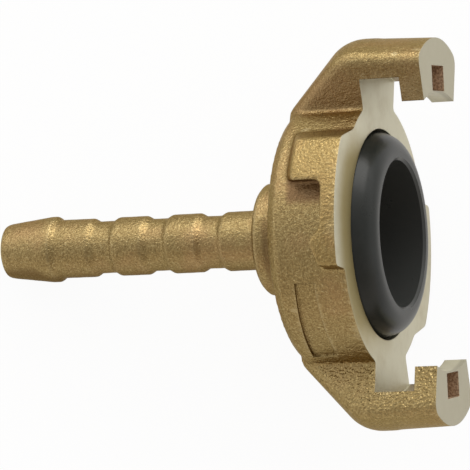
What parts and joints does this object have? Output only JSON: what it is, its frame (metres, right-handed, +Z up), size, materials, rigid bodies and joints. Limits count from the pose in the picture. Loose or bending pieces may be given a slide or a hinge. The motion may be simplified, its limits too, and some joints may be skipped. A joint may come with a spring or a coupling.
{
  "type": "claw hose coupling",
  "caption": "Brass claw coupling half with a long grooved hose tail, hooked claws, cam flanges with stops, and a rubber sealing ring standing proud of its face.",
  "frame": {"origin": "centre of the base of the bounding box, on the floor that the fitting lies on", "axes": "+X along the lying fitting, from the hose tail towards the claws, with the tail's axis raised 18.5 degrees towards the front; +Y along the line between the two claws; +Z up from the floor"},
  "size_m": [0.0738, 0.0602, 0.0467],
  "materials": {
    "brass": "blasted casting with machined front faces",
    "rubber": "smooth moulded rubber"
  },
  "bodies": {
    "root": {"coupling_body": "brass", "upper_claw": "brass", "lower_claw": "brass", "seal_ring": "rubber"}
  },
  "joints": []
}
